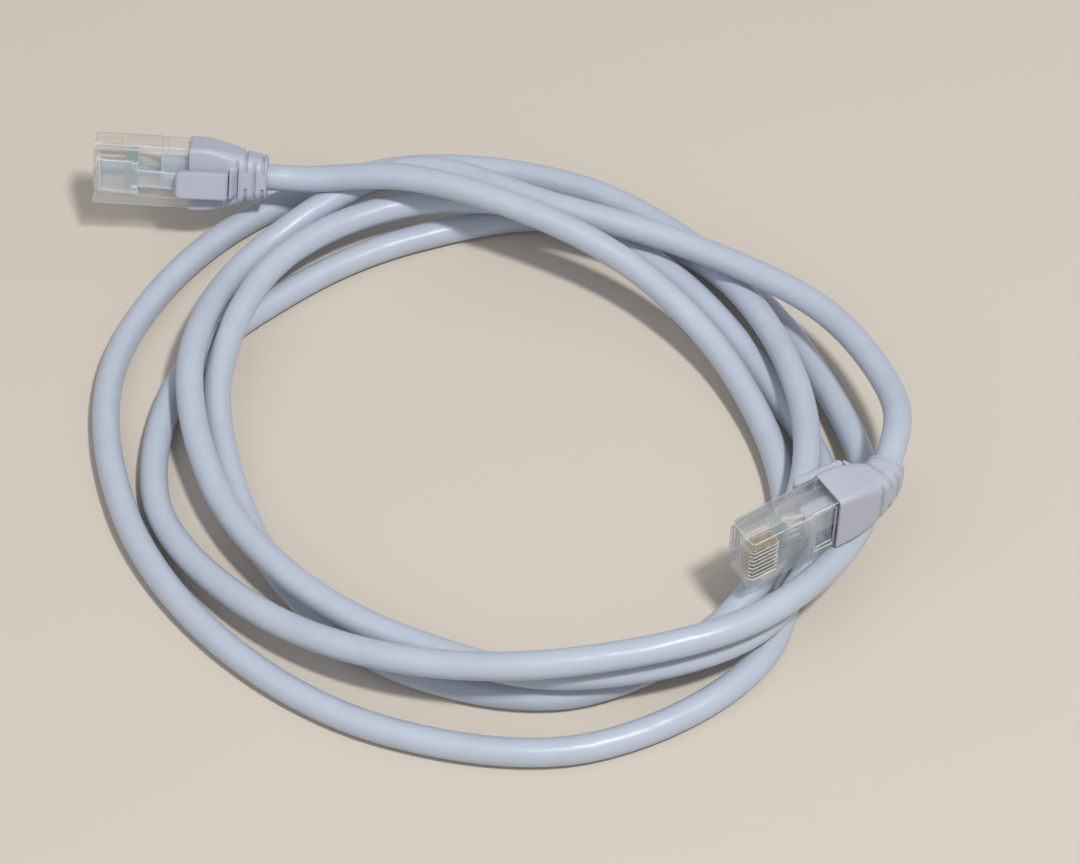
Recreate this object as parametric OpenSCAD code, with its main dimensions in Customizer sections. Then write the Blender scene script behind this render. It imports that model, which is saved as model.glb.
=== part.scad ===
// Ethernet patch cable lying in a loose coil, with an 8P8C plug and a snagless boot on each end.
// It lies on z = 0 with Z up. All sizes are in millimetres.
// A plug has its own frame: x runs from the nose back along the cable, y across the contacts,
// and z towards the latch. The middle of the nose is its origin.

/* [Cable] */
// Outer diameter of the jacket
cable_od = 5; // [4.6:0.1:5.3]
// Depth of the flat under the jacket where it lies on the table
cable_flat = 0.5; // [0.3:0.1:0.7]
// Outer diameter of one insulated wire
wire_od = 0.88; // [0.8:0.01:0.9]
// Depth of the wires' row below the plug's latch side
wire_depth = 2.9; // [2.8:0.05:3]

/* [Plug body] */
// Width of the plug body
plug_w = 11.68; // [11.5:0.01:12]
// Height of the plug body
plug_h = 6.6; // [6.4:0.1:7]
// Length of the plug body
plug_l = 21.5; // [21:0.1:23]
// Wall of the plug body at its sides and its nose
plug_wall = 0.8; // [0.6:0.05:1]
// Bevel on the edges of the nose
plug_bevel = 0.6; // [0.3:0.1:0.9]
// How far the rear of the contact side steps in
plug_step = 0.3; // [0.1:0.1:0.5]
// Distance from the nose to the cut end of the jacket
jacket_at = 12.5; // [12:0.1:13]
// Width of the jacket's flattened end
jacket_flat_w = 7.2; // [6.8:0.1:7.6]
// Thickness of the jacket's flattened end
jacket_flat_h = 3.2; // [2.8:0.1:3.4]
// Distance from the nose to the crimp bar
crimp_at = 13.6; // [13.4:0.1:14]
// Length of the crimp bar's window along the plug
crimp_l = 3.9; // [3.4:0.1:4]
// Width of the crimp bar's window
crimp_w = 9.7; // [9:0.1:10]
// Depth of the crimp bar's window
crimp_h = 1.1; // [0.8:0.1:1.3]

/* [Contacts] */
// Distance between neighbouring contacts
contact_pitch = 1.016; // [1.01:0.001:1.03]
// Thickness of a contact blade
contact_t = 0.35; // [0.25:0.01:0.4]
// Length of a contact blade
contact_l = 4.7; // [4.2:0.1:4.9]
// Distance from the nose to the blades
contact_at = 0.7; // [0.6:0.1:0.9]
// How far the blades lie below the plug's contact side
contact_recess = 0.3; // [0.2:0.05:0.5]
// Gap between a blade and the sides of its slot
slot_gap = 0.08; // [0.05:0.01:0.12]

/* [Load bar] */
// Distance from the nose to the load bar
bar_at = 5.8; // [5.7:0.1:6.2]
// Length of the load bar along the wires
bar_l = 2.5; // [2:0.1:3]
// Height of the load bar
bar_h = 2; // [1.8:0.1:2.2]
// Plastic of the load bar outside its last wire
bar_side = 0.4; // [0.3:0.05:0.6]

/* [Latch] */
// Distance from the nose to the latch's hinge
latch_at = 2; // [1.8:0.1:2.4]
// Thickness of the latch
latch_t = 1; // [0.9:0.05:1.1]
// Length of the latch from its hinge
latch_l = 14.4; // [14:0.1:14.6]
// Length of the latch's wide part
latch_wide_l = 6.5; // [6:0.1:7]
// Width of the latch's wide part
latch_w = 6.2; // [5.8:0.1:6.4]
// Width of the latch's narrow part
latch_tail_w = 3.2; // [3:0.1:3.6]
// Height of the two catches on the wide part
catch_h = 0.5; // [0.3:0.1:0.7]
// Rise of the latch when nothing presses it, in degrees
latch_rise = 5; // [4:0.5:5]

/* [Boot] */
// Distance from the nose to the boot's rim
boot_at = 17.8; // [17.7:0.1:18.4]
// Distance from the nose to the end of the boot's box
boot_end = 26; // [25.8:0.1:27]
// Wall of the boot around the plug body
boot_wall = 0.36; // [0.3:0.02:0.5]
// Extra thickness of the boot on its latch side
boot_cheek = 0.9; // [0.7:0.05:1.1]
// Radius of the boot's long edges
boot_round = 1.2; // [0.8:0.1:1.5]
// Length of the boot's box that narrows towards the tail
boot_taper = 4; // [3:0.5:5]
// Length of the grooved tail
tail_l = 6.4; // [6:0.1:7]
// Width of the tail at the box
tail_w1 = 10; // [9.4:0.1:10.4]
// Width of the tail at the cable
tail_w2 = 7.4; // [7:0.1:8]
// Height of the tail at the box
tail_h1 = 7.6; // [7.2:0.1:7.7]
// Height of the tail at the cable
tail_h2 = 6.6; // [6.4:0.1:7]
// Number of grooves round the tail
tail_grooves = 4; // [3:1:5]
// Width of a groove
groove_w = 0.5; // [0.4:0.05:0.6]
// Depth of a groove
groove_d = 0.4; // [0.3:0.05:0.5]
// Angle through which plug B's tail bends, in degrees
tail_bend = 42; // [20:1:50]

/* [Latch guard] */
// Length of the thumb pad from its hinge to its tip
pad_l = 8.9; // [8.6:0.1:9.2]
// Width of the thumb pad
pad_w = 5.2; // [4.8:0.1:5.6]
// Thickness of the pad at its hinge
guard_t = 1.2; // [1:0.05:1.3]
// Thickness of the pad at its tip
guard_tip_t = 1.6; // [1.4:0.1:1.8]
// Height of the pad's underside over the latch side, at its hinge
guard_h = 2.4; // [2.3:0.05:2.6]
// Height of the pad's underside over the latch side, at its tip
guard_tip_h = 2.6; // [2.5:0.05:2.8]
// Radius of the hinge bead behind the pad
hinge_r = 0.8; // [0.7:0.05:0.9]
// Radius of the pad's front corners
pad_round = 1; // [0.5:0.1:1.5]
// Bevel on the pad's tip
pad_nose = 0.4; // [0.2:0.1:0.6]
// Thickness of the riser behind the bead
riser_t = 0.55; // [0.5:0.05:0.7]
// Bevel on the riser's edges
riser_bevel = 0.4; // [0.2:0.1:0.5]
// How far the riser's foot runs out over the tail
riser_foot = 0.6; // [0.4:0.1:1]

/* [Hidden] */
// Running gap round the hinges, and play of seated pieces
gap = 0.15;
play = 0.04;
// How far a cut runs past the face that it opens
over = 1;
count = 8;

tine_h = 0.8;
wire_r = wire_od / 2;
wire_z = plug_h / 2 - wire_depth;
function wire_y(i) = (i - (count - 1) / 2) * contact_pitch;
bar_w = (count - 1) * contact_pitch + wire_od + 2 * bar_side;
blade_z0 = -plug_h / 2 + contact_recess;
blade_z1 = wire_z - wire_r - play;
crimp_floor = -plug_h / 2 + crimp_h + plug_wall;
jacket_z = crimp_floor + play + jacket_flat_h / 2;
boot_w = plug_w + 2 * (boot_wall + play);
boot_z0 = -plug_h / 2 - boot_wall - play;
boot_z1 = plug_h / 2 + boot_cheek + play;
latch_z = plug_h / 2 + latch_t / 2 + play;
guard_x = boot_end - riser_t - gap - hinge_r;
guard_z = plug_h / 2 + guard_h + guard_t / 2;

// Both ends of the cable: the nose's place, then the turns about Z, about Y and about the plug's own x
plug_a_at = [-73.9, 56.1, 15.5];
plug_a_turn = [-1, -4, 64];
plug_b_at = [43.6, -39.9, 20];
plug_b_turn = [32, -1, -90];

// The cable's axis from plug A to plug B, clockwise round the coil's middle. Each point is a radius and a
// height, and stands knot_step degrees on from the one before, so a loop has 12 points.
coil_mid = [-0.4, 0.1];
first_angle = 105;
knot_step = 30;
// Height of the lowest points, where the cable lies on the table
low_z = 2;
loop_1 = [[53, 17], [43.5, 15.5], [43.5, 10.5], [47.5, 5], [55.5, 2.5], [68.5, 2], [70, 2], [66, 2],
    [64, 2], [66, 2.5], [70.5, 2], [71, 2]];
loop_2 = [[70, 2], [65.5, 2], [61, 2], [62.5, 2.5], [70, 6.5], [68.5, 14.5], [60.5, 14], [57, 10.5],
    [57, 6], [60, 2.5], [57.5, 2], [51.5, 2]];
loop_3 = [[51.5, 2], [56.5, 2], [57, 6], [56.5, 8], [58.5, 9.5], [60, 5], [58.5, 2], [53, 2],
    [47.5, 2], [46, 2.5], [50, 6], [54.5, 8]];
loop_4 = [[55.5, 7.5], [53, 7.5], [50.5, 5.5], [53.5, 2], [63, 5], [67, 8.5], [59, 8], [51, 8],
    [48.5, 7.5], [50, 7], [55, 9.5], [61, 5]];
loop_5 = [[60, 12], [49, 13.5], [54, 12]];
// The last two points come with their own angles
route_end = [[-1420, 64.5, 13.5], [-1440, 72, 16.5]];

fan_pitch = 0.8;
fan_rise = 0.35;
rear_open = cable_od + 2 * gap;
crimp_end = crimp_at + crimp_l;
bar_end = bar_at + bar_l;
tip_x = guard_x - pad_l;
under_z = plug_h / 2 + guard_h;
tip_z = plug_h / 2 + guard_tip_h;
riser_x = boot_end - riser_t;
riser_top = guard_z + hinge_r - gap;

table = 300;

clear_plastic = [0.86, 0.9, 0.93, 0.45];
boot_grey = [0.78, 0.79, 0.85];
cable_grey = [0.8, 0.83, 0.87];
wire_colours = [[0.93, 0.75, 0.6], [0.88, 0.45, 0.2], [0.75, 0.88, 0.78], [0.15, 0.3, 0.65],
    [0.72, 0.8, 0.92], [0.1, 0.5, 0.35], [0.85, 0.76, 0.68], [0.45, 0.28, 0.18]];

// Moves a plug from its own frame to where it lies
module placed(at, turn)
    translate(at) rotate([0, 0, turn[0]]) rotate([0, -turn[1], 0]) rotate([turn[2], 0, 0]) children();

// The same move for one point, and for a direction
function spin(v, turn) = let (
    c1 = cos(turn[2]), s1 = sin(turn[2]), c2 = cos(turn[1]), s2 = sin(turn[1]),
    c3 = cos(turn[0]), s3 = sin(turn[0]),
    y1 = c1 * v[1] - s1 * v[2], z1 = s1 * v[1] + c1 * v[2],
    x2 = c2 * v[0] - s2 * z1, z2 = s2 * v[0] + c2 * z1)
    [c3 * x2 - s3 * y1, s3 * x2 + c3 * y1, z2];

// Where the cable leaves a tail that bends by an angle, and which way it goes there
function tail_radius(bend) = tail_l * 180 / (PI * bend);
function exit_point(bend) = bend == 0 ? [boot_end + tail_l, 0, 0]
    : [boot_end + tail_radius(bend) * sin(bend), 0, tail_radius(bend) * (1 - cos(bend))];
function exit_way(bend) = [cos(bend), 0, sin(bend)];

// The route: both exits with one straight diameter of cable, and the coil's points between them
function coil_point(angle, r, z) = [coil_mid[0] + r * cos(angle), coil_mid[1] + r * sin(angle),
    z + cable_od / 2 - cable_flat - low_z];
loops = concat(loop_1, loop_2, loop_3, loop_4, loop_5);
start_at = plug_a_at + spin(exit_point(0), plug_a_turn);
start_way = spin(exit_way(0), plug_a_turn);
end_at = plug_b_at + spin(exit_point(tail_bend), plug_b_turn);
end_way = spin(exit_way(tail_bend), plug_b_turn);
bends = concat([start_at + cable_od * start_way],
    [for (i = [0:len(loops) - 1]) coil_point(first_angle - knot_step * i, loops[i][0], loops[i][1])],
    [for (p = route_end) coil_point(p[0], p[1], p[2])],
    [end_at + cable_od * end_way]);
last = len(bends) - 1;

// A smooth curve through the bends, halved between each two of them, so a loop has 24 rings
function bend_at(i) = i < 0 ? start_at : i > last ? end_at : bends[i];
function between(a, b, c, d) = (9 * (b + c) - a - d) / 16;
rings = concat([start_at], [bends[0]],
    [for (i = [0:last - 1]) each [between(bend_at(i - 1), bend_at(i), bend_at(i + 1), bend_at(i + 2)),
        bends[i + 1]]], [end_at]);
n = len(rings);
sides = 6;
near = 4;
function unit(v) = v / norm(v);
function way(i) = i <= 1 ? start_way : i >= n - 2 ? -end_way : unit(rings[i + 1] - rings[i - 1]);
function across(i) = unit(cross(way(i), [0, 0, 1]));
function ring_point(i, k) = let (a = 90 + k * 360 / sides, s = across(i), u = cross(s, way(i)))
    rings[i] + cable_od / 2 * (cos(a) * s + sin(a) * u);

// The least gap between two stretches of the cable, and the cable's length between the boots
function off(p, a, b) = let (t = max(0, min(1, (p - a) * (b - a) / ((b - a) * (b - a)))))
    norm(p - a - t * (b - a));
least = min([for (i = [0:n - 1]) for (j = [0:n - 2]) if (abs(i - j) > near) each
    [off(rings[i], rings[j], rings[j + 1]),
     off((rings[i] + rings[min(i + 1, n - 1)]) / 2, rings[j], rings[j + 1])]]);
function run(i) = i == 0 ? 0 : norm(rings[i] - rings[i - 1]) + run(i - 1);
echo(least_gap = least - cable_od, cable_length = run(n - 1), rings = n, start_at = start_at,
    start_way = start_way, end_at = end_at, end_way = end_way);

module block(x0, x1, w, z0, z1) translate([x0, -w / 2, z0]) cube([x1 - x0, w, z1 - z0]);

module rod(p, q, r, facets = 24) {
    d = q - p;
    translate(p) rotate([0, acos(d[2] / norm(d)), atan2(d[1], d[0])])
        cylinder(r = r, h = norm(d), $fn = facets);
}

// A side outline in x and z, w wide
module side_cut(w) rotate([90, 0, 0]) translate([0, 0, -w / 2]) linear_extrude(w) children();

// A bar along x with four rounded edges
module round_bar(x0, x1, w, z0, z1, r) {
    block(x0, x1, w - 2 * r, z0, z1);
    block(x0, x1, w, z0 + r, z1 - r);
    for (y = [-1, 1]) for (z = [z0 + r, z1 - r])
        translate([x0, y * (w / 2 - r), z]) rotate([0, 90, 0]) cylinder(r = r, h = x1 - x0, $fn = 24);
}

// The round run of the cable through the tail
module tail_core(r, bend) {
    if (bend == 0)
        translate([boot_end, 0, 0]) rotate([0, 90, 0]) cylinder(r = r, h = tail_l, $fn = 48);
    else
        multmatrix([[0, 1, 0, boot_end], [0, 0, -1, 0], [-1, 0, 0, tail_radius(bend)], [0, 0, 0, 1]])
            rotate_extrude(angle = bend, $fn = 96) translate([tail_radius(bend), 0])
                circle(r = r, $fn = 48);
}

// A flat outline, x along the plug's z, pushed from s0 to s1 along the tail's way at s
module tail_piece(s, s0, s1, bend) {
    turn = bend * s / tail_l;
    r = bend == 0 ? 0 : tail_radius(bend);
    translate(bend == 0 ? [boot_end + s, 0, 0] : [boot_end + r * sin(turn), 0, r * (1 - cos(turn))])
        rotate([0, 90 - turn, 0]) translate([0, 0, s0 - s]) linear_extrude(s1 - s0) children();
}

// The tail's outline at a share t of its length, drawn in by d: a circle with two flat sides
module tail_outline(t, d) {
    w = tail_w1 + (tail_w2 - tail_w1) * t - 2 * d;
    h = tail_h1 + (tail_h2 - tail_h1) * t - 2 * d;
    corners = 32;
    intersection() {
        polygon([for (i = [0:corners - 1]) w / 2 * [cos(i * 360 / corners), sin(i * 360 / corners)]]);
        square([h, w], center = true);
    }
}

// A groove is cut across both flat sides, or else round both narrow sides. It leaves a land at its ends.
flat_land = 0.16;
side_land = 0.34;
module groove_outline(t, flat) {
    w = tail_w1 + (tail_w2 - tail_w1) * t;
    tail_outline(t, groove_d);
    intersection() {
        tail_outline(t, 0);
        if (flat) for (k = [-1, 1]) translate([0, k * w / 2]) square([w, w * flat_land], center = true);
        else square([w, w * side_land], center = true);
    }
}

module cable_jacket() color(cable_grey) difference() {
    polyhedron(
        points = concat([for (i = [0:n - 1]) for (k = [0:sides - 1]) ring_point(i, k)],
            [rings[0], rings[n - 1]]),
        faces = concat(
            [for (i = [0:n - 2]) for (k = [0:sides - 1]) let (m = (k + 1) % sides) each
                [[i * sides + k, (i + 1) * sides + k, (i + 1) * sides + m],
                 [i * sides + k, (i + 1) * sides + m, i * sides + m]]],
            [for (k = [0:sides - 1]) [n * sides, k, (k + 1) % sides]],
            [for (k = [0:sides - 1]) let (m = (k + 1) % sides)
                [n * sides + 1, (n - 1) * sides + m, (n - 1) * sides + k]]));
    // The table
    translate([-table / 2, -table / 2, -cable_od]) cube([table, table, cable_od]);
}

module plug_body() color(clear_plastic) difference() {
    union() {
        side_cut(plug_w) polygon([[plug_bevel, -plug_h / 2], [jacket_at, -plug_h / 2],
            [jacket_at, -plug_h / 2 + plug_step], [plug_l, -plug_h / 2 + plug_step], [plug_l, plug_h / 2],
            [plug_bevel, plug_h / 2], [0, plug_h / 2 - plug_bevel], [0, -plug_h / 2 + plug_bevel]]);
        // Root of the latch
        block(plug_bevel, latch_at - latch_t / 2 - gap, latch_w, plug_h / 2 - plug_bevel,
            latch_z + latch_t / 4);
    }
    for (i = [0:count - 1]) translate([0, wire_y(i), 0])
        block(-plug_bevel, contact_at + contact_l + slot_gap, contact_t + 2 * slot_gap, -plug_h, wire_z);
    block(plug_wall, bar_end + play, bar_w + 2 * play, wire_z - bar_h / 2 - play, wire_z + bar_h / 2 + play);
    block(bar_end, crimp_end, bar_w + 2 * play, crimp_floor, plug_h / 2 - plug_wall);
    block(crimp_end, plug_l + play, bar_w + 2 * play, -rear_open / 2, rear_open / 2);
    block(crimp_at, crimp_end, crimp_w, -plug_h, -plug_h / 2 + crimp_h);
}

// The latch lies along x from its hinge and rises by latch_rise
module latch() color(clear_plastic) translate([latch_at, 0, latch_z]) rotate([0, -latch_rise, 0]) {
    rotate([90, 0, 0]) cylinder(r = latch_t / 2, h = latch_w, center = true, $fn = 24);
    block(0, latch_wide_l, latch_w, -latch_t / 2, latch_t / 2);
    block(0, latch_l, latch_tail_w, -latch_t / 2, latch_t / 2);
    for (y = [-1, 1]) translate([0, y * (latch_w + latch_tail_w) / 4, 0])
        block(latch_wide_l - 2 * catch_h, latch_wide_l, (latch_w - latch_tail_w) / 2, 0,
            latch_t / 2 + catch_h);
}

// Two tines of each blade come down to its wire
module contact(i) color("gold") translate([0, wire_y(i), 0]) difference() {
    block(contact_at, contact_at + contact_l, contact_t, blade_z0, blade_z1);
    for (x = [contact_l / 4, 3 * contact_l / 4]) translate([contact_at + x, 0, 0])
        block(0, contact_l / 4 + gap, contact_t * 2, blade_z1 - tine_h, blade_z1 + gap);
}

module load_bar() color([0.55, 0.75, 0.72, 0.7]) difference() {
    block(bar_at, bar_end, bar_w, wire_z - bar_h / 2, wire_z + bar_h / 2);
    for (i = [0:count - 1])
        rod([bar_at - over, wire_y(i), wire_z], [bar_end + over, wire_y(i), wire_z], wire_r + play);
}

// One wire: straight under its blade and through the load bar, then in to the jacket's end
module wire(i) color(wire_colours[i]) {
    knee = [bar_end + wire_r, wire_y(i), wire_z];
    foot = [jacket_at - 2 * play, (i - (count - 1) / 2) * fan_pitch,
        jacket_z + (i % 2 == 0 ? -fan_rise : fan_rise)];
    rod([plug_wall + play, wire_y(i), wire_z], knee, wire_r, 10);
    rod(knee - play * unit(foot - knee), foot, wire_r, 12);
}

// The jacket inside the boot and the plug: round in the boot, pressed flat under the crimp bar
module jacket_end(bend) color(cable_grey) {
    flat_end = crimp_end + play;
    y = (jacket_flat_w - jacket_flat_h) / 2;
    block(jacket_at, flat_end, 2 * y, jacket_z - jacket_flat_h / 2, jacket_z + jacket_flat_h / 2);
    for (k = [-1, 1]) rod([jacket_at, k * y, jacket_z], [flat_end, k * y, jacket_z], jacket_flat_h / 2);
    hull() {
        for (k = [-1, 1]) translate([flat_end - gap, k * y, jacket_z]) rotate([0, 90, 0])
            cylinder(d = jacket_flat_h - gap, h = play, $fn = 32);
        translate([plug_l - gap, 0, 0]) rotate([0, 90, 0]) cylinder(d = cable_od - gap, h = play, $fn = 32);
    }
    translate([plug_l - 2 * gap, 0, 0]) rotate([0, 90, 0])
        cylinder(d = cable_od, h = boot_end - plug_l + 2 * gap, $fn = 48);
    tail_core(cable_od / 2, bend);
}

module boot(bend) color(boot_grey) difference() {
    union() {
        round_bar(boot_at, boot_end - boot_taper, boot_w, boot_z0, boot_z1, boot_round);
        hull() {
            for (y = [-1, 1]) for (z = [boot_z0 + boot_round, boot_z1 - boot_round])
                translate([boot_end - boot_taper, y * (boot_w / 2 - boot_round), z]) rotate([0, 90, 0])
                    cylinder(r = boot_round, h = gap, $fn = 24);
            translate([boot_end - gap, 0, 0]) rotate([0, 90, 0])
                linear_extrude(gap) tail_outline(0, -gap / 2);
        }
        pitch = tail_l / tail_grooves;
        lap = tail_h1 / 2 * tan(bend / tail_grooves / 2) + play;
        for (k = [0:tail_grooves - 1]) {
            t = (k + 0.5) / tail_grooves;
            mid = pitch * (k + 0.5);
            end = k == tail_grooves - 1 ? tail_l - lap : mid + pitch / 2;
            tail_piece(mid, mid - pitch / 2 - lap, mid - groove_w / 2, bend) tail_outline(t, 0);
            tail_piece(mid, mid - groove_w / 2 - play, mid + groove_w / 2 + play, bend)
                groove_outline(t, k % 2 == 0);
            tail_piece(mid, mid + groove_w / 2, end, bend) tail_outline(t, 0);
        }
        tail_piece(tail_l, tail_l - 2 * lap - gap, tail_l, bend) tail_outline(1, 0);
        // The riser that carries the guard
        side_cut(pad_w) polygon([[riser_x, 0], [riser_x, riser_top - riser_bevel],
            [min(riser_x + riser_bevel, boot_end - play), riser_top],
            [boot_end, riser_top - riser_bevel], [boot_end + riser_foot, tail_h1 / 2 - riser_bevel],
            [boot_end, 0]]);
    }
    block(boot_at - over, plug_l + play, plug_w + 2 * play, -plug_h / 2 - play, plug_h / 2 + play);
    translate([plug_l - over, 0, 0]) rotate([0, 90, 0])
        cylinder(r = cable_od / 2 + play, h = boot_end - plug_l + over, $fn = 48);
    tail_core(cable_od / 2 + play, bend);
}

// The latch guard: a thumb pad on a hinge bead, with its tip over the end of the latch
module guard() color(boot_grey) {
    translate([guard_x, 0, guard_z]) rotate([90, 0, 0])
        cylinder(r = hinge_r, h = pad_w, center = true, $fn = 24);
    intersection() {
        side_cut(pad_w * 2) polygon([[guard_x, under_z], [tip_x + pad_nose, tip_z],
            [tip_x, tip_z + pad_nose], [tip_x, tip_z + guard_tip_t - pad_nose],
            [tip_x + pad_nose, tip_z + guard_tip_t], [guard_x, under_z + guard_t + gap]]);
        linear_extrude(tip_z * 2) {
            translate([tip_x, -pad_w / 2 + pad_round]) square([pad_l, pad_w - 2 * pad_round]);
            translate([tip_x + pad_round, -pad_w / 2]) square([pad_l - pad_round, pad_w]);
            for (y = [-1, 1]) translate([tip_x + pad_round, y * (pad_w / 2 - pad_round)])
                circle(r = pad_round, $fn = 24);
        }
    }
}

module a() placed(plug_a_at, plug_a_turn) children();
module b() placed(plug_b_at, plug_b_turn) children();

cable_jacket();
a() jacket_end(0);  // jacket_end_a
a() plug_body();  // plug_a_body
a() latch();  // plug_a_latch
a() load_bar();  // plug_a_load_bar
a() boot(0);  // boot_a
a() guard();  // boot_a_guard
b() jacket_end(tail_bend);  // jacket_end_b
b() plug_body();  // plug_b_body
b() latch();  // plug_b_latch
b() load_bar();  // plug_b_load_bar
b() boot(tail_bend);  // boot_b
b() guard();  // boot_b_guard
a() contact(0);  // plug_a_contact_1
a() contact(1);  // plug_a_contact_2
a() contact(2);  // plug_a_contact_3
a() contact(3);  // plug_a_contact_4
a() contact(4);  // plug_a_contact_5
a() contact(5);  // plug_a_contact_6
a() contact(6);  // plug_a_contact_7
a() contact(7);  // plug_a_contact_8
a() wire(0);  // plug_a_wire_1
a() wire(1);  // plug_a_wire_2
a() wire(2);  // plug_a_wire_3
a() wire(3);  // plug_a_wire_4
a() wire(4);  // plug_a_wire_5
a() wire(5);  // plug_a_wire_6
a() wire(6);  // plug_a_wire_7
a() wire(7);  // plug_a_wire_8
b() contact(0);  // plug_b_contact_1
b() contact(1);  // plug_b_contact_2
b() contact(2);  // plug_b_contact_3
b() contact(3);  // plug_b_contact_4
b() contact(4);  // plug_b_contact_5
b() contact(5);  // plug_b_contact_6
b() contact(6);  // plug_b_contact_7
b() contact(7);  // plug_b_contact_8
b() wire(0);  // plug_b_wire_1
b() wire(1);  // plug_b_wire_2
b() wire(2);  // plug_b_wire_3
b() wire(3);  // plug_b_wire_4
b() wire(4);  // plug_b_wire_5
b() wire(5);  // plug_b_wire_6
b() wire(6);  // plug_b_wire_7
b() wire(7);  // plug_b_wire_8
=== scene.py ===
import math

import bmesh
import bpy
from mathutils import Matrix, Vector


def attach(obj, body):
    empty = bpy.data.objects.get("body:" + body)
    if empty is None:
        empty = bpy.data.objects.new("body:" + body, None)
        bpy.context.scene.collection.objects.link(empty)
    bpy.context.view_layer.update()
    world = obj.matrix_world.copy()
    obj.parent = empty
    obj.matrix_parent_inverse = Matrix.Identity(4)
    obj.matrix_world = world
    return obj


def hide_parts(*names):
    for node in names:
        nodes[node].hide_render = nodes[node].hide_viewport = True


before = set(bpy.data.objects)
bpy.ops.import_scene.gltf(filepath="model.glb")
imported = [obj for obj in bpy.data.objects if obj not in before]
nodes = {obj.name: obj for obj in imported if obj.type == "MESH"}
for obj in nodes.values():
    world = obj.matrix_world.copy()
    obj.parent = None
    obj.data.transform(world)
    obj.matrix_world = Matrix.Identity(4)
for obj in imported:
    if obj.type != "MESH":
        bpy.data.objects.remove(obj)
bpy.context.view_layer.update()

collection = bpy.context.scene.collection
MM = 0.001

# ---------------------------------------------------------------- camera
# 50 degrees down onto the table. The width and the focal length are in the photo's pixels.
PHOTO_WIDTH, FOCAL_LENGTH, SENSOR = 1080.0, 3700.0, 36.0
camera_data = bpy.data.cameras.new("camera")
camera_data.sensor_fit = "HORIZONTAL"
camera_data.sensor_width = SENSOR
camera_data.lens = SENSOR * FOCAL_LENGTH / PHOTO_WIDTH
camera_data.clip_start = 0.01
camera_data.clip_end = 20.0
camera = bpy.data.objects.new("camera", camera_data)
camera.location = (0.0096, -0.428, 0.515)
camera.rotation_euler = (math.radians(40), 0, 0)
collection.objects.link(camera)
bpy.context.scene.camera = camera

# ---------------------------------------------------------------- where the plugs lie
# As in part.scad, in mm and degrees: the nose's place, then the turns about Z, about Y and about the
# plug's own axis, then how far the boot's tail bends. A plug's frame starts at its nose, with x along it.
PLACES = {
    "a": ((-73.9, 56.1, 15.5), (-1, -4, 64), 0.0),
    "b": ((43.6, -39.9, 20.0), (32, -1, -90), 42.0),
}
BOOT_AT, BOOT_END, TAIL_L = 17.8, 26.0, 6.4
TAIL_END = BOOT_END + TAIL_L
PLUG_L, PLUG_W, PLUG_H = 21.5, 11.68, 6.6
# The room between pieces that fit into each other
PLAY = 0.04


def plug_matrix(p):
    """From plug p's frame in metres to the row frame."""
    nose, (yaw, pitch, roll), _ = PLACES[p]
    return (Matrix.Translation(Vector(nose) * MM) @ Matrix.Rotation(math.radians(yaw), 4, "Z")
            @ Matrix.Rotation(math.radians(-pitch), 4, "Y") @ Matrix.Rotation(math.radians(roll), 4, "X"))


def axis_at(x, bend):
    """The axis at station x in the plug's frame, in mm: its place, the way it runs, and its upward side."""
    s = x - BOOT_END
    if s <= 0 or bend == 0:
        return Vector((x, 0, 0)), Vector((1, 0, 0)), Vector((0, 0, 1))
    radius = TAIL_L / math.radians(bend)
    sin, cos = math.sin(s / radius), math.cos(s / radius)
    return (Vector((BOOT_END + radius * sin, 0, radius * (1 - cos))), Vector((cos, 0, sin)),
            Vector((-sin, 0, cos)))


def exit_of(p):
    """Where the cable leaves boot p and which way it goes, in metres in the row frame."""
    at, way, _ = axis_at(TAIL_END, PLACES[p][2])
    m = plug_matrix(p)
    return m @ (at * MM), (m.to_3x3() @ way).normalized()


# ---------------------------------------------------------------- the cable
# The route of part.scad, in mm: a radius and a height every 30 degrees, clockwise round the coil, and
# then two points before boot b with their own angles.
OD = 5.0 * MM
MIDDLE = Vector((-0.4, 0.1, 0.0)) * MM
FIRST_ANGLE, KNOT_STEP = 105, 30
LOOPS = [
    (53, 17), (43.5, 15.5), (43.5, 10.5), (47.5, 5), (55.5, 2.5), (68.5, 2), (70, 2), (66, 2),
    (64, 2), (66, 2.5), (70.5, 2), (71, 2),
    (70, 2), (65.5, 2), (61, 2), (62.5, 2.5), (70, 6.5), (68.5, 14.5), (60.5, 14), (57, 10.5),
    (57, 6), (60, 2.5), (57.5, 2), (51.5, 2),
    (51.5, 2), (56.5, 2), (57, 6), (56.5, 8), (58.5, 9.5), (60, 5), (58.5, 2), (53, 2),
    (47.5, 2), (46, 2.5), (50, 6), (54.5, 8),
    (55.5, 7.5), (53, 7.5), (50.5, 5.5), (53.5, 2), (63, 5), (67, 8.5), (59, 8), (51, 8),
    (48.5, 7.5), (50, 7), (55, 9.5), (61, 5),
    (60, 12), (49, 13.5), (54, 12),
]
END = [(-1420, 64.5, 13.5), (-1440, 72, 16.5)]
# The solid is cut flat under the coil, and the round cable lies on the table whole. Past each boot it
# rises by the cut's depth, from LIFT_FROM on and over LIFT_OVER. Its middle is never under LOWEST.
CUT, LOWEST = 0.5 * MM, 2.51 * MM
LIFT_FROM, LIFT_OVER = 6 * MM, 30 * MM
# How far the jacket runs on inside the boots, so that no seam shows where it leaves them
INSIDE = 0.8 * MM


def coil_point(angle, radius, height):
    a = math.radians(angle)
    return MIDDLE + Vector((radius * math.cos(a), radius * math.sin(a), height)) * MM


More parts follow.
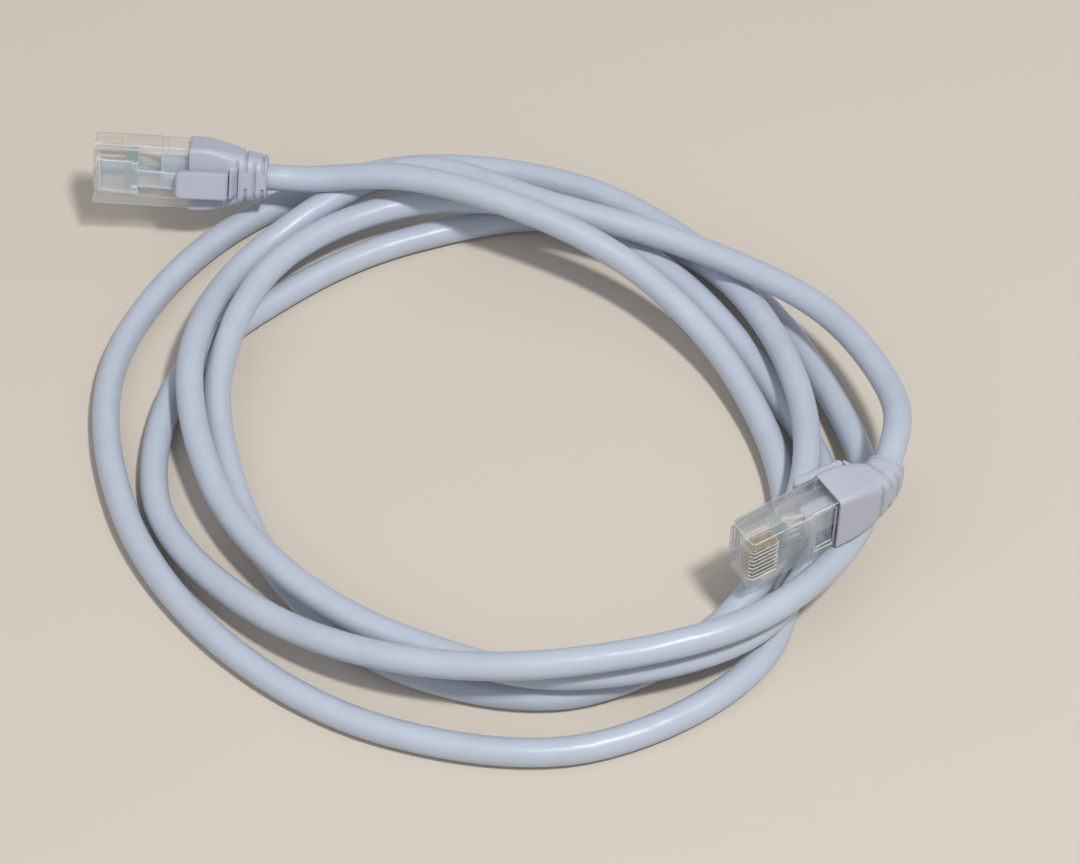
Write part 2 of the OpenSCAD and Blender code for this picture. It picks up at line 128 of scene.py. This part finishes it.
def smooth(points, first_way, last_way, steps=10):
    """A smooth line through the points, which starts and ends along the two given ways."""
    ways = [(c - a) / 2 for a, c in zip(points, points[2:])]
    ways = ([first_way * (points[1] - points[0]).length] + ways
            + [last_way * (points[-1] - points[-2]).length])
    out = []
    for a, b, u, v in zip(points, points[1:], ways, ways[1:]):
        for k in range(steps):
            t = k / steps
            out.append((2 * t ** 3 - 3 * t * t + 1) * a + (t ** 3 - 2 * t * t + t) * u
                       + (3 * t * t - 2 * t ** 3) * b + (t ** 3 - t * t) * v)
    out.append(points[-1].copy())
    return out


start_at, start_way = exit_of("a")
end_at, end_way = exit_of("b")
bends = ([start_at + start_way * OD]
         + [coil_point(FIRST_ANGLE - KNOT_STEP * i, r, z) for i, (r, z) in enumerate(LOOPS)]
         + [coil_point(a, r, z) for a, r, z in END] + [end_at + end_way * OD])
# One cable diameter straight out of each boot, and the smooth line between
line = ([start_at + start_way * OD * k / 4 for k in range(4)] + smooth(bends, start_way, -end_way)
        + [end_at + end_way * OD * k / 4 for k in (3, 2, 1, 0)])
run = [0.0]
for p, q in zip(line, line[1:]):
    run.append(run[-1] + (q - p).length)
for p, done in zip(line, run):
    from_boot = min(done, run[-1] - done)
    lift = min(1.0, max(0.0, (from_boot - LIFT_FROM) / LIFT_OVER))
    p.z = max(p.z + CUT * lift, LOWEST)
line = [start_at - start_way * INSIDE] + line + [end_at - end_way * INSIDE]


def into_scene(name, mesh, sharp):
    """An object of the mesh, shaded smooth apart from the edges over an angle in degrees."""
    mesh.shade_smooth()
    mesh.set_sharp_from_angle(angle=math.radians(sharp))
    obj = bpy.data.objects.new(name, mesh)
    collection.objects.link(obj)
    return obj


def tube(name, points, radius, resolution):
    """A round tube along the points, closed at both ends, as a mesh."""
    data = bpy.data.curves.new(name, "CURVE")
    data.dimensions = "3D"
    data.bevel_depth = radius
    data.bevel_resolution = resolution
    data.use_fill_caps = True
    data.twist_mode = "Z_UP"
    spline = data.splines.new("POLY")
    spline.points.add(len(points) - 1)
    for p, q in zip(spline.points, points):
        p.co = (*q, 1)
    guide = bpy.data.objects.new(name + "_guide", data)
    collection.objects.link(guide)
    mesh = bpy.data.meshes.new_from_object(guide.evaluated_get(bpy.context.evaluated_depsgraph_get()))
    bpy.data.objects.remove(guide)
    bpy.data.curves.remove(data)
    bm = bmesh.new()
    bm.from_mesh(mesh)
    bmesh.ops.remove_doubles(bm, verts=bm.verts, dist=1e-7)
    bm.to_mesh(mesh)
    bm.free()
    mesh.materials.clear()
    return into_scene(name, mesh, sharp=50)


cable = tube("cable", line, OD / 2, resolution=10)
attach(cable, "cable")
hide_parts("cable_jacket")


# ---------------------------------------------------------------- materials
# In these functions n makes a material's nodes and k its links.
def new_material(name):
    material = bpy.data.materials.new(name)
    material.use_nodes = True
    n = material.node_tree.nodes
    return material, n, material.node_tree.links, n["Principled BSDF"]


def noise(n, k, coords, scale, detail=2.0):
    """A noise over the piece, with its scale per metre."""
    node = n.new("ShaderNodeTexNoise")
    node.inputs["Scale"].default_value = scale
    node.inputs["Detail"].default_value = detail
    k.new(coords.outputs["Object"], node.inputs["Vector"])
    return node.outputs["Fac"]


def mapped(n, k, source, low, high, start=0.0, end=1.0):
    """The source from start to end, spread over low to high."""
    node = n.new("ShaderNodeMapRange")
    for name, value in (("From Min", start), ("From Max", end), ("To Min", low), ("To Max", high)):
        node.inputs[name].default_value = value
    k.new(source, node.inputs["Value"])
    return node.outputs["Result"]


def softened(n, radius, samples):
    """The normal with its edges rounded by a radius in metres."""
    node = n.new("ShaderNodeBevel")
    node.samples = samples
    node.inputs["Radius"].default_value = radius
    return node.outputs["Normal"]


def bumped(n, k, height, strength, distance, under=None):
    """The normal that a height gives, on top of the one under it."""
    node = n.new("ShaderNodeBump")
    node.inputs["Strength"].default_value = strength
    node.inputs["Distance"].default_value = distance
    k.new(height, node.inputs["Height"])
    if under is not None:
        k.new(under, node.inputs["Normal"])
    return node.outputs["Normal"]


def moulded(name, colour, dark, roughness, grain=0.08, bevel=0.0, swell=0.0):
    """Moulded or extruded soft plastic, with a faint mottle and a fine grain.

    A bevel softens its edges by a radius in metres. A swell adds the slow lumps that show in a jacket
    over twisted pairs, in a piece without a bevel.
    """
    spread = 0.06
    material, n, k, shader = new_material(name)
    coords = n.new("ShaderNodeTexCoord")
    ramp = n.new("ShaderNodeValToRGB")
    for stop, position, shade in zip(ramp.color_ramp.elements, (0.3, 0.7), (dark, colour)):
        stop.position, stop.color = position, (*shade, 1)
    k.new(noise(n, k, coords, scale=90.0, detail=3.0), ramp.inputs["Fac"])
    k.new(ramp.outputs["Color"], shader.inputs["Base Color"])
    fine = noise(n, k, coords, scale=700.0, detail=4.0)
    k.new(mapped(n, k, fine, roughness - spread, roughness + spread), shader.inputs["Roughness"])
    under = None
    if bevel:
        under = softened(n, bevel, samples=6)
    elif swell:
        lumps = noise(n, k, coords, scale=150.0, detail=1.0)
        under = bumped(n, k, lumps, strength=swell, distance=1.2 * MM)
    k.new(bumped(n, k, fine, strength=grain, distance=0.1 * MM, under=under), shader.inputs["Normal"])
    shader.inputs["IOR"].default_value = 1.5
    return material


# The cosine between the softened and the flat normal, from an even face to a full edge
ON_FACE, ON_EDGE = 0.995, 0.86
# The painted highlight on the edges of clear plastic: the white mixed into the colour there, and the
# transmission left there
PAINTED_EDGE_HIGHLIGHT, PAINTED_HIGHLIGHT_THROUGH = (0.97, 0.98, 0.98), 0.25
# The Mix node's sockets for colours
MIX_FACTOR, MIX_A, MIX_B, MIX_RESULT = 0, 6, 7, 2


def clear_material(name, alpha, tint, roughness, through):
    """Clear moulded plastic: a slight flow in the surface, and edges that catch the light.

    alpha and through, its transmission, hold on its faces. Its edges are denser and paler: a painted
    highlight, with white mixed into the colour and less transmission there.
    """
    material, n, k, shader = new_material(name)
    coords = n.new("ShaderNodeTexCoord")
    flow = noise(n, k, coords, scale=260.0)
    k.new(mapped(n, k, flow, low=0.4 * roughness, high=1.6 * roughness), shader.inputs["Roughness"])
    soft = softened(n, 0.4 * MM, samples=8)
    flat = n.new("ShaderNodeNewGeometry")
    same = n.new("ShaderNodeVectorMath")
    same.operation = "DOT_PRODUCT"
    k.new(soft, same.inputs[0])
    k.new(flat.outputs["Normal"], same.inputs[1])
    # Towards the edges the alpha rises to full, the colour turns white and the transmission drops: a
    # painted highlight
    k.new(mapped(n, k, same.outputs["Value"], alpha, 1.0, ON_FACE, ON_EDGE), shader.inputs["Alpha"])
    painted_edge_highlight = mapped(n, k, same.outputs["Value"], 0.0, 1.0, ON_FACE, ON_EDGE)
    colour = n.new("ShaderNodeMix")
    colour.data_type = "RGBA"
    colour.inputs[MIX_A].default_value = (*tint, 1)
    colour.inputs[MIX_B].default_value = (*PAINTED_EDGE_HIGHLIGHT, 1)
    k.new(painted_edge_highlight, colour.inputs[MIX_FACTOR])
    k.new(colour.outputs[MIX_RESULT], shader.inputs["Base Color"])
    k.new(bumped(n, k, flow, strength=0.1, distance=0.2 * MM, under=soft), shader.inputs["Normal"])
    shader.inputs["IOR"].default_value = 1.5
    k.new(mapped(n, k, painted_edge_highlight, through, PAINTED_HIGHLIGHT_THROUGH), shader.inputs["Transmission Weight"])
    return material


def gold_plate():
    material, n, k, shader = new_material("gold_plate")
    coords = n.new("ShaderNodeTexCoord")
    wear = noise(n, k, coords, scale=900.0)
    k.new(mapped(n, k, wear, low=0.18, high=0.34), shader.inputs["Roughness"])
    shader.inputs["Base Color"].default_value = (0.66, 0.50, 0.26, 1)
    shader.inputs["Metallic"].default_value = 1.0
    return material


def set_material(obj, material):
    if obj.data.materials:
        for i in range(len(obj.data.materials)):
            obj.data.materials[i] = material
    else:
        obj.data.materials.append(material)


jacket = moulded("jacket_pvc", colour=(0.49, 0.55, 0.645), dark=(0.46, 0.515, 0.61), roughness=0.36,
                 grain=0.1, swell=0.3)
boot_plastic = moulded("boot_plastic", colour=(0.49, 0.51, 0.60), dark=(0.46, 0.48, 0.57),
                       roughness=0.45, grain=0.15, bevel=0.6 * MM)
clear = clear_material("clear_polycarbonate", alpha=0.36, tint=(0.93, 0.95, 0.95), roughness=0.02,
                       through=0.82)
latch_plastic = clear_material("clear_latch", alpha=0.5, tint=(0.84, 0.86, 0.92), roughness=0.04,
                               through=0.6)
bar_plastic = clear_material("load_bar_plastic", alpha=0.85, tint=(0.50, 0.70, 0.65), roughness=0.2,
                             through=0.45)
gold = gold_plate()
WIRES = [("white_orange", (0.78, 0.66, 0.60)), ("orange", (0.74, 0.52, 0.43)),
         ("white_green", (0.66, 0.75, 0.69)), ("blue", (0.09, 0.17, 0.42)),
         ("white_blue", (0.62, 0.68, 0.78)), ("green", (0.46, 0.60, 0.55)),
         ("white_brown", (0.70, 0.64, 0.60)), ("brown", (0.52, 0.43, 0.38))]
MOTTLE_SHADE = 0.85
insulation = [moulded("wire_" + name, colour, tuple(MOTTLE_SHADE * c for c in colour), roughness=0.35)
              for name, colour in WIRES]
cable.data.materials.append(jacket)


def ease(t):
    """From 0 to 1 with a soft start and end."""
    t = min(1.0, max(0.0, t))
    return t * t * (3 - 2 * t)


# ---------------------------------------------------------------- the wires inside the plugs
# In the plug's frame, in mm: level and at the contacts' pitch as far as the last of LEVEL_X, then drawn
# together over FAN_L, into two rows around the middle of the jacket.
PITCH, JACKET_PITCH, ROW_RISE = 1.016, 0.8, 0.35
WIRE_R, WIRE_DEPTH, JACKET_Z = 0.44, 2.9, 0.24
WIRE_Z = PLUG_H / 2 - WIRE_DEPTH
LEVEL_X, FAN_X, FAN_L = (0.86, 4.0, 8.3), 8.5, 3.9


def wire_piece(p, i):
    """Wire i of plug p, which replaces its solid."""
    place = i - (len(WIRES) - 1) / 2
    y0, y1 = place * PITCH, place * JACKET_PITCH
    z1 = JACKET_Z + (-ROW_RISE if i % 2 == 0 else ROW_RISE)
    points = [Vector((x, y0, WIRE_Z)) for x in LEVEL_X]
    for t in (0.25, 0.5, 0.75, 1.0):
        s = ease(t)
        points.append(Vector((FAN_X + FAN_L * t, y0 + (y1 - y0) * s, WIRE_Z + (z1 - WIRE_Z) * s)))
    m = plug_matrix(p)
    wire = tube("plug_%s_wire_curve_%d" % (p, i + 1), [m @ (q * MM) for q in points], WIRE_R * MM,
                resolution=4)
    set_material(wire, insulation[i])
    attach(wire, "cable")
    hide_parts("plug_%s_wire_%d" % (p, i + 1))
    return wire


wires = {p: [wire_piece(p, i) for i in range(len(WIRES))] for p in "ab"}

# ---------------------------------------------------------------- the boots
# A boot is lofted through rings along the plug's axis, which bends inside the tail: over its outside,
# back through the cable's bore and out of the plug's pocket. Sizes are in mm. The front, the bore and
# the pocket are those of the solid; the tail's end is fuller, as the photo shows it.
BOOT_WALL, BOOT_CHEEK = 0.36, 0.9
BORE_R = OD / MM / 2 + PLAY
# The bore's corners leave a side of twice this, so that it's a ring like the others
BORE_SIDE = 0.001
POCKET_CORNER = 0.2
ARC_STEPS, SIDE_STEPS = 9, 9
# The outside: a size at the front, by how much it changes, from which station, and over what length
HALF_WIDTH = (PLUG_W / 2 + PLAY + BOOT_WALL, -2.1, 19.6, 12.5)
TOP = (PLUG_H / 2 + PLAY + BOOT_CHEEK, -0.85, 20.5, 12)
BOTTOM = (-PLUG_H / 2 - PLAY - BOOT_WALL, 0.4, 21.5, 12)
CORNER = (0.9, 1.5, 20.5, 10)
WIDTH_POWER, LEAST_SIDE = 1.05, 0.05
# Edges are drawn in by these amounts over these lengths at the front and at the tail's end
FRONT_TRIM, FRONT_TRIM_L, TAIL_TRIM, TAIL_TRIM_L = 0.12, 0.3, 0.25, 0.25
# A groove is deepest over GROOVE_FLAT to each side of its middle, and runs out over GROOVE_SLOPE. One
# across the top fades out from TOP_TO and one round the side fades in from SIDE_FROM, as shares of the
# half width, both over GROOVE_FADE.
GROOVES, GROOVE_D, GROOVE_FLAT, GROOVE_SLOPE = 4, 0.45, 0.15, 0.14
TOP_TO, SIDE_FROM, GROOVE_FADE = 0.8, 0.34, 0.07
# The stations of the outside's rings: behind the front, along the body, close together where the
# grooves are, and before the tail's end
FRONT_RINGS, END_RINGS = (0, 0.12, 0.35), (0.2, 0.07, 0)
BODY_FROM, BODY_STEP, BODY_RINGS = 18.5, 0.5, 15
GROOVES_FROM, GROOVE_STEP = 25.75, 0.07
# The riser behind the guard, as (x, z), and half its width
RISER = [(25.45, 3.0), (25.45, 5.9), (25.5, 6.3), (25.62, 6.5), (25.8, 6.52), (26.0, 6.36), (26.3, 5.8),
         (26.6, 5.0), (26.9, 4.0), (26.9, 3.0)]
RISER_HALF = 2.45


def ring(half_width, bottom, top, corner):
    """A rounded rectangle as points (y, z), with the same count whatever its size."""
    arcs = []
    for side, z, turn in ((1, top - corner, 0), (-1, top - corner, 90),
                          (-1, bottom + corner, 180), (1, bottom + corner, 270)):
        angles = [math.radians(turn + 90 * i / ARC_STEPS) for i in range(ARC_STEPS + 1)]
        arcs.append([Vector((side * (half_width - corner) + corner * math.cos(a), z + corner * math.sin(a)))
                     for a in angles])
    out = []
    for arc, following in zip(arcs, arcs[1:] + arcs[:1]):
        out += arc + [arc[-1].lerp(following[0], i / SIDE_STEPS) for i in range(1, SIDE_STEPS)]
    return out


def size_at(x, change, power=1.0):
    """One size of the outside at station x."""
    value, by, start, over = change
    return value + by * ease((x - start) / over) ** power


def groove_depth(x, share):
    """How deep the outside is cut at station x, where share is y over the half width.

    Every other groove runs across top and bottom, and the ones between go round the sides.
    """
    depth = 0.0
    for i in range(GROOVES):
        away = abs(x - (BOOT_END + TAIL_L / GROOVES * (i + 0.5)))
        along = 1 - ease((away - GROOVE_FLAT) / GROOVE_SLOPE)
        if i % 2 == 0:
            across = 1 - ease((abs(share) - TOP_TO) / GROOVE_FADE)
        else:
            across = ease((abs(share) - SIDE_FROM) / GROOVE_FADE)
        depth = max(depth, GROOVE_D * along * across)
    return depth


def outside(x):
    """The boot's outer ring at station x, with its trimmed ends and grooves."""
    half = size_at(x, HALF_WIDTH, WIDTH_POWER)
    top, bottom = size_at(x, TOP), size_at(x, BOTTOM)
    corner = min(size_at(x, CORNER), half - LEAST_SIDE, (top - bottom) / 2 - LEAST_SIDE)
    trim = (FRONT_TRIM * (1 - ease((x - BOOT_AT) / FRONT_TRIM_L))
            + TAIL_TRIM * ease((x - TAIL_END + TAIL_TRIM_L) / TAIL_TRIM_L))
    middle = Vector((0, (top + bottom) / 2))
    return [q - (q - middle).normalized() * groove_depth(x, q.x / half)
            for q in ring(half - trim, bottom + trim, top - trim, corner)]


def bands(base, rows, count, closed):
    """The faces between neighbouring rows of vertices, each a loop of count of them, from base on."""
    faces = []
    for i in range(rows if closed else rows - 1):
        row, following = base + i * count, base + (i + 1) % rows * count
        for a in range(count):
            b = (a + 1) % count
            faces.append((row + a, row + b, following + b, following + a))
    return faces


def boot_piece(p):
    """The boot of plug p with its riser, which replaces its solid."""
    bend = PLACES[p][2]
    m = plug_matrix(p)
    groove_rings = int((TAIL_END - END_RINGS[0] - GROOVES_FROM) / GROOVE_STEP)
    stations = [BOOT_AT + d for d in FRONT_RINGS] + [BODY_FROM + BODY_STEP * i for i in range(BODY_RINGS)]
    stations += [GROOVES_FROM + GROOVE_STEP * i for i in range(groove_rings)]
    stations += [TAIL_END - d for d in END_RINGS]
    bore = ring(BORE_R, -BORE_R, BORE_R, BORE_R - BORE_SIDE)
    pocket = ring(PLUG_W / 2 + PLAY, -PLUG_H / 2 - PLAY, PLUG_H / 2 + PLAY, POCKET_CORNER)
    rings = [(x, outside(x)) for x in stations]
    rings += [(BOOT_END + TAIL_L * share, bore) for share in (1, 0.75, 0.5, 0.25, 0)]
    rings += [(PLUG_L + PLAY, bore), (PLUG_L + PLAY, pocket), (BOOT_AT, pocket)]
    verts = []
    for x, points in rings:
        at, _, up = axis_at(x, bend)
        verts += [m @ ((at + Vector((0, q.x, 0)) + up * q.y) * MM) for q in points]
    faces = bands(0, len(rings), len(pocket), closed=True)
    base, size = len(verts), len(RISER)
    verts += [m @ (Vector((x, y, z)) * MM) for y in (-RISER_HALF, RISER_HALF) for x, z in RISER]
    faces.append(tuple(base + i for i in reversed(range(size))))
    faces.append(tuple(base + size + i for i in range(size)))
    faces += bands(base, 2, size, closed=False)
    name = "boot_%s_shell" % p
    mesh = bpy.data.meshes.new(name)
    mesh.from_pydata([tuple(v) for v in verts], [], faces)
    mesh.validate()
    bm = bmesh.new()
    bm.from_mesh(mesh)
    bmesh.ops.recalc_face_normals(bm, faces=bm.faces)
    bm.to_mesh(mesh)
    bm.free()
    boot = into_scene(name, mesh, sharp=35)
    set_material(boot, boot_plastic)
    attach(boot, "cable")
    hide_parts("boot_" + p)
    return boot


boots = {p: boot_piece(p) for p in "ab"}

# ---------------------------------------------------------------- the solids that stay
for name, node in nodes.items():
    if name.startswith("boot_"):
        set_material(node, boot_plastic)
    elif name.startswith("jacket_end"):
        set_material(node, jacket)
    elif "_contact_" in name:
        set_material(node, gold)
    elif name.endswith("_load_bar"):
        set_material(node, bar_plastic)
    elif name.endswith("_body"):
        set_material(node, clear)
    elif name.endswith("_latch"):
        set_material(node, latch_plastic)

# ---------------------------------------------------------------- floor and light
bpy.ops.mesh.primitive_plane_add(size=3.0, location=(0, 0, 0))
floor = bpy.context.object
floor.name = "floor"
floor_pale, _, _, floor_shader = new_material("floor_pale")
floor_shader.inputs["Base Color"].default_value = (0.635, 0.575, 0.50, 1)
floor_shader.inputs["Roughness"].default_value = 0.6
floor.data.materials.append(floor_pale)

world = bpy.data.worlds.new("world")
bpy.context.scene.world = world
world.use_nodes = True
background = world.node_tree.nodes["Background"]
background.inputs["Color"].default_value = (0.92, 0.95, 1.0, 1)
background.inputs["Strength"].default_value = 0.38


def lamp(name, place, size, power, colour):
    """A square lamp that looks at the frame's origin, inside the coil."""
    data = bpy.data.lights.new(name, "AREA")
    data.size = size
    data.energy = power
    data.color = colour
    obj = bpy.data.objects.new(name, data)
    obj.location = place
    obj.rotation_euler = (-Vector(place)).to_track_quat("-Z", "Y").to_euler()
    collection.objects.link(obj)


lamp("key", place=(0.36, -0.45, 1.2), size=0.12, power=12.0, colour=(1.0, 0.98, 0.95))
lamp("fill", place=(-0.7, -0.5, 0.9), size=0.9, power=2.0, colour=(0.95, 0.97, 1.0))
bpy.context.scene.view_settings.view_transform = "Standard"
